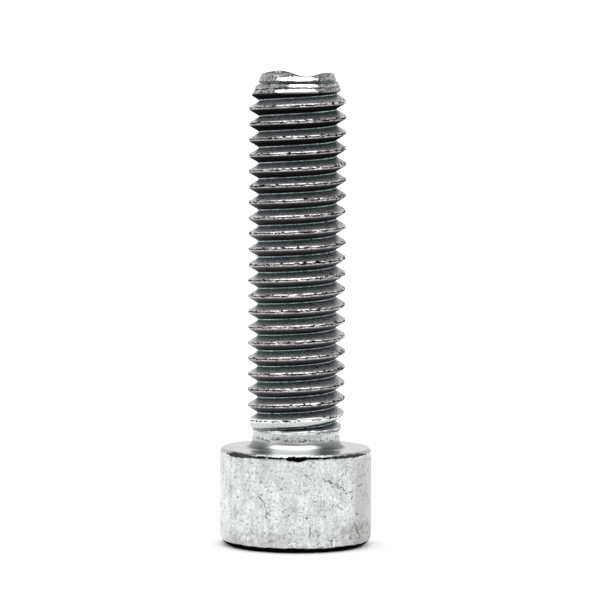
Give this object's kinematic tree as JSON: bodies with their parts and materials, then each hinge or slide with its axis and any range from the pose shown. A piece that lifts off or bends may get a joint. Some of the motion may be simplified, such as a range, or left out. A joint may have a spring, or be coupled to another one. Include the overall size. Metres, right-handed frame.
{
  "type": "hexagon socket head cap screw",
  "caption": "Steel cap screw with a plain cylindrical head, a hexagon wrench socket and a rolled right-hand metric thread up to a tapered tip.",
  "frame": {"origin": "centre of the head's end face, the face with the wrench socket, which the screw stands on", "axes": "+Z along the screw's axis, from the head to the thread's tip"},
  "size_m": [0.0122, 0.0122, 0.038],
  "materials": {
    "zinc_plate": "bright zinc plate, satin to bright, with fine handling scratches"
  },
  "bodies": {
    "root": {"cap_screw": "zinc_plate"}
  },
  "joints": []
}
